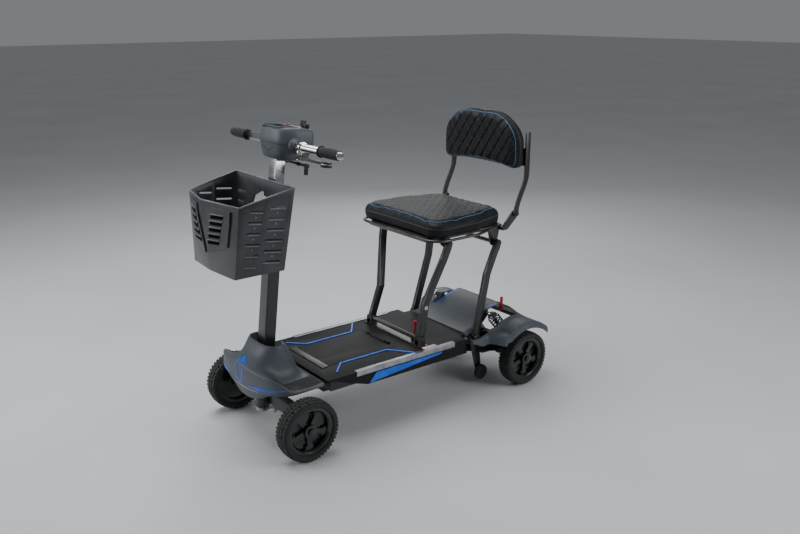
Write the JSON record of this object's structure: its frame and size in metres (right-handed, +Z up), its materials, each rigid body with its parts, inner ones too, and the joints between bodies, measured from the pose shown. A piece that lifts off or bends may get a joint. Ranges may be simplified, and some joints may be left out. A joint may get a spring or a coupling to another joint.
{
  "type": "mobility scooter",
  "caption": "Folding four-wheel mobility scooter with a raked tiller, front basket, flat battery deck, folding parallelogram seat and sprung rear axle.",
  "frame": {"origin": "centre of the overall box in plan, on the ground under the wheels", "axes": "-Y to the front, +X to the rider's left, +Z up"},
  "size_m": [0.606, 1.1576, 0.9563],
  "materials": {
    "frame_paint": "satin black powder coat",
    "steel": "plain steel",
    "chrome_bar": "bright plated",
    "silver_trim": "satin anodised",
    "grey_shell": "satin moulded",
    "black_plastic": "fine texture",
    "grip_rubber": "soft matt",
    "tyre_rubber": "moulded tread",
    "blue_trim": "gloss",
    "red_plastic": "gloss",
    "seat_leather": "soft vinyl leather",
    "screen": "gloss lens",
    "spring_steel": "gloss black coil"
  },
  "bodies": {
    "chassis": {"frame": "frame_paint", "front_axle": "frame_paint", "front_fairing": "grey_shell", "fairing_ring": "blue_trim", "foot_mat_left": "grip_rubber", "foot_mat_right": "grip_rubber", "deck": "black_plastic", "side_strip_left": "silver_trim", "side_strip_right": "silver_trim", "battery_tray": "black_plastic", "battery_pack": "black_plastic", "controller": "silver_trim", "front_leg_bracket": "frame_paint", "rear_cover": "grey_shell"},
    "lid": {"battery_lid": "black_plastic"},
    "release_lever": {"release_lever": "red_plastic"},
    "freewheel_lever": {"freewheel_lever": "red_plastic"},
    "steering": {"steering_stem": "steel"},
    "knuckle_left": {"knuckle_left": "frame_paint"},
    "knuckle_right": {"knuckle_right": "frame_paint"},
    "tie_rod": {"tie_rod": "steel"},
    "front_wheel_left": {"front_rim_left": "frame_paint", "front_tyre_left": "tyre_rubber"},
    "front_wheel_right": {"front_rim_right": "frame_paint", "front_tyre_right": "tyre_rubber"},
    "rear_wheel_left": {"rear_rim_left": "frame_paint", "rear_tyre_left": "tyre_rubber"},
    "rear_wheel_right": {"rear_rim_right": "frame_paint", "rear_tyre_right": "tyre_rubber"},
    "rear_axle": {"transaxle": "frame_paint"},
    "shock_body_left": {"shock_body_left": "chrome_bar", "shock_spring_left": "spring_steel"},
    "shock_body_right": {"shock_body_right": "chrome_bar", "shock_spring_right": "spring_steel"},
    "shock_rod_left": {"shock_rod_left": "steel"},
    "shock_rod_right": {"shock_rod_right": "steel"},
    "anti_tip_left": {"anti_tip_wheel_left": "grip_rubber"},
    "anti_tip_right": {"anti_tip_wheel_right": "grip_rubber"},
    "tiller": {"tiller_tube": "frame_paint", "basket_bracket": "frame_paint"},
    "height_knob": {"height_knob": "black_plastic"},
    "basket": {"basket": "black_plastic"},
    "head": {"tiller_extension": "chrome_bar", "console_lower": "grey_shell", "console_upper": "grey_shell", "display": "screen", "handlebar": "chrome_bar", "grip_left": "grip_rubber", "grip_right": "grip_rubber"},
    "key": {"ignition_key": "black_plastic"},
    "speed_knob": {"speed_knob": "black_plastic"},
    "horn_button": {"horn_button": "red_plastic"},
    "throttle": {"throttle_paddle": "black_plastic"},
    "brake_lever": {"brake_lever": "black_plastic"},
    "front_legs": {"front_legs": "frame_paint"},
    "rear_legs": {"rear_legs": "frame_paint"},
    "seat": {"seat_frame": "frame_paint", "seat_cushion": "seat_leather"},
    "backrest": {"backrest_frame": "frame_paint", "backrest_pad": "seat_leather"}
  },
  "joints": [
    {"name": "steering_turn", "type": "hinge", "parent": "chassis", "child": "steering", "pos_m": [0, -0.42007, 0.0978], "axis": [0, 0.1167, 0.9932], "range_deg": [-25, 25]},
    {"name": "knuckle_left_turn", "type": "hinge", "parent": "chassis", "child": "knuckle_left", "pos_m": [0.165, -0.39623, 0.095], "axis": [0, 0.1167, 0.9932], "range_deg": [-25, 25]},
    {"name": "knuckle_right_turn", "type": "hinge", "parent": "chassis", "child": "knuckle_right", "pos_m": [-0.165, -0.39623, 0.095], "axis": [0, 0.1167, 0.9932], "range_deg": [-25, 25]},
    {"name": "tie_rod_pivot", "type": "hinge", "parent": "knuckle_left", "child": "tie_rod", "pos_m": [0.165, -0.35341, 0.07386], "axis": [0, 0.1167, 0.9932], "range_deg": [-25, 25]},
    {"name": "front_wheel_left_spin", "type": "hinge", "parent": "knuckle_left", "child": "front_wheel_left", "pos_m": [0.222, -0.39623, 0.095], "axis": [1, 0, 0], "continuous": true},
    {"name": "front_wheel_right_spin", "type": "hinge", "parent": "knuckle_right", "child": "front_wheel_right", "pos_m": [-0.222, -0.39623, 0.095], "axis": [1, 0, 0], "continuous": true},
    {"name": "rear_suspension", "type": "hinge", "parent": "chassis", "child": "rear_axle", "pos_m": [0, 0.25977, 0.15], "axis": [1, 0, 0], "range_deg": [-1, 4], "stiffness_Nm_per_rad": 6000, "springref_deg": -0.69},
    {"name": "rear_wheel_left_spin", "type": "hinge", "parent": "rear_axle", "child": "rear_wheel_left", "pos_m": [0.219, 0.48377, 0.095], "axis": [1, 0, 0], "continuous": true},
    {"name": "rear_wheel_right_spin", "type": "hinge", "parent": "rear_axle", "child": "rear_wheel_right", "pos_m": [-0.219, 0.48377, 0.095], "axis": [1, 0, 0], "continuous": true},
    {"name": "shock_left_swing", "type": "hinge", "parent": "chassis", "child": "shock_body_left", "pos_m": [0.146, 0.39577, 0.253], "axis": [1, 0, 0], "range_deg": [-1.24, 4.79]},
    {"name": "shock_left_stroke", "type": "slide", "parent": "shock_body_left", "child": "shock_rod_left", "axis": [0, -0.661, 0.7504], "range_m": [-0.00306, 0.01193], "deforming": ["shock_spring_left"]},
    {"name": "shock_right_swing", "type": "hinge", "parent": "chassis", "child": "shock_body_right", "pos_m": [-0.146, 0.39577, 0.253], "axis": [1, 0, 0], "range_deg": [-1.24, 4.79]},
    {"name": "shock_right_stroke", "type": "slide", "parent": "shock_body_right", "child": "shock_rod_right", "axis": [0, -0.661, 0.7504], "range_m": [-0.00306, 0.01193], "deforming": ["shock_spring_right"]},
    {"name": "anti_tip_left_spin", "type": "hinge", "parent": "chassis", "child": "anti_tip_left", "pos_m": [0.13, 0.36577, 0.042], "axis": [1, 0, 0], "continuous": true},
    {"name": "anti_tip_right_spin", "type": "hinge", "parent": "chassis", "child": "anti_tip_right", "pos_m": [-0.13, 0.36577, 0.042], "axis": [1, 0, 0], "continuous": true},
    {"name": "tiller_fold", "type": "hinge", "parent": "steering", "child": "tiller", "pos_m": [0, -0.40289, 0.244], "axis": [-1, 0, 0], "range_deg": [0, 25]},
    {"name": "tiller_height", "type": "slide", "parent": "tiller", "child": "head", "axis": [0, 0.1167, 0.9932], "range_m": [0, 0.1]},
    {"name": "height_knob_turn", "type": "hinge", "parent": "tiller", "child": "height_knob", "pos_m": [0, -0.31412, 0.75111], "axis": [0, 0.9932, -0.1167], "range_deg": [-180, 180]},
    {"name": "basket_lift", "type": "slide", "parent": "tiller", "child": "basket", "axis": [0, 0.1167, 0.9932], "range_m": [0, 0.04]},
    {"name": "key_turn", "type": "hinge", "parent": "head", "child": "key", "pos_m": [0.034, -0.26339, 0.93444], "axis": [0, 0.1167, 0.9932], "range_deg": [0, 60]},
    {"name": "speed_knob_turn", "type": "hinge", "parent": "head", "child": "speed_knob", "pos_m": [0.056, -0.26537, 0.93467], "axis": [0, 0.1167, 0.9932], "range_deg": [-135, 135]},
    {"name": "horn_press", "type": "slide", "parent": "head", "child": "horn_button", "axis": [0, -0.1167, -0.9932], "range_m": [0, 0.0025], "stiffness_N_per_m": 400, "springref_m": -0.001},
    {"name": "throttle_rock", "type": "hinge", "parent": "head", "child": "throttle", "pos_m": [0, -0.28347, 0.83208], "axis": [1, 0, 0], "range_deg": [-12, 12], "stiffness_Nm_per_rad": 1},
    {"name": "brake_pull", "type": "hinge", "parent": "head", "child": "brake_lever", "pos_m": [0.108, -0.3239, 0.86503], "axis": [0, 0.1167, 0.9932], "range_deg": [0, 14], "stiffness_Nm_per_rad": 2, "springref_deg": -5.73},
    {"name": "seat_fold", "type": "hinge", "parent": "chassis", "child": "front_legs", "pos_m": [0, 0.09177, 0.228], "axis": [-1, 0, 0], "range_deg": [-80, 0]},
    {"name": "rear_leg_swing", "type": "hinge", "parent": "chassis", "child": "rear_legs", "pos_m": [0, 0.30677, 0.196], "axis": [-1, 0, 0], "range_deg": [-80, 0]},
    {"name": "seat_level", "type": "hinge", "parent": "front_legs", "child": "seat", "pos_m": [0, 0.17677, 0.545], "axis": [-1, 0, 0], "range_deg": [0, 80]},
    {"name": "backrest_fold", "type": "hinge", "parent": "seat", "child": "backrest", "pos_m": [0, 0.46077, 0.605], "axis": [-1, 0, 0], "range_deg": [-70, 0]},
    {"name": "lid_open", "type": "hinge", "parent": "chassis", "child": "lid", "pos_m": [0, 0.02227, 0.2105], "axis": [-1, 0, 0], "range_deg": [0, 70]},
    {"name": "release_pull", "type": "hinge", "parent": "chassis", "child": "release_lever", "pos_m": [0.086, 0.10377, 0.219], "axis": [-1, 0, 0], "range_deg": [0, 25], "stiffness_Nm_per_rad": 0.3},
    {"name": "freewheel_turn", "type": "hinge", "parent": "chassis", "child": "freewheel_lever", "pos_m": [0.097, 0.49177, 0.23934], "axis": [-1, 0, 0], "range_deg": [0, 30]}
  ],
  "couplings": [
    {"joint": "knuckle_left_turn", "follows": "steering_turn", "ratio": 1},
    {"joint": "knuckle_right_turn", "follows": "steering_turn", "ratio": 1},
    {"joint": "tie_rod_pivot", "follows": "steering_turn", "ratio": -1},
    {"joint": "rear_leg_swing", "follows": "seat_fold", "ratio": 1},
    {"joint": "seat_level", "follows": "seat_fold", "ratio": -1},
    {"joint": "shock_left_swing", "follows": "rear_suspension", "ratio": 1.1852},
    {"joint": "shock_left_stroke", "follows": "rear_suspension", "m_per_rad": 0.16944},
    {"joint": "shock_right_swing", "follows": "rear_suspension", "ratio": 1.1852},
    {"joint": "shock_right_stroke", "follows": "rear_suspension", "m_per_rad": 0.16944}
  ]
}
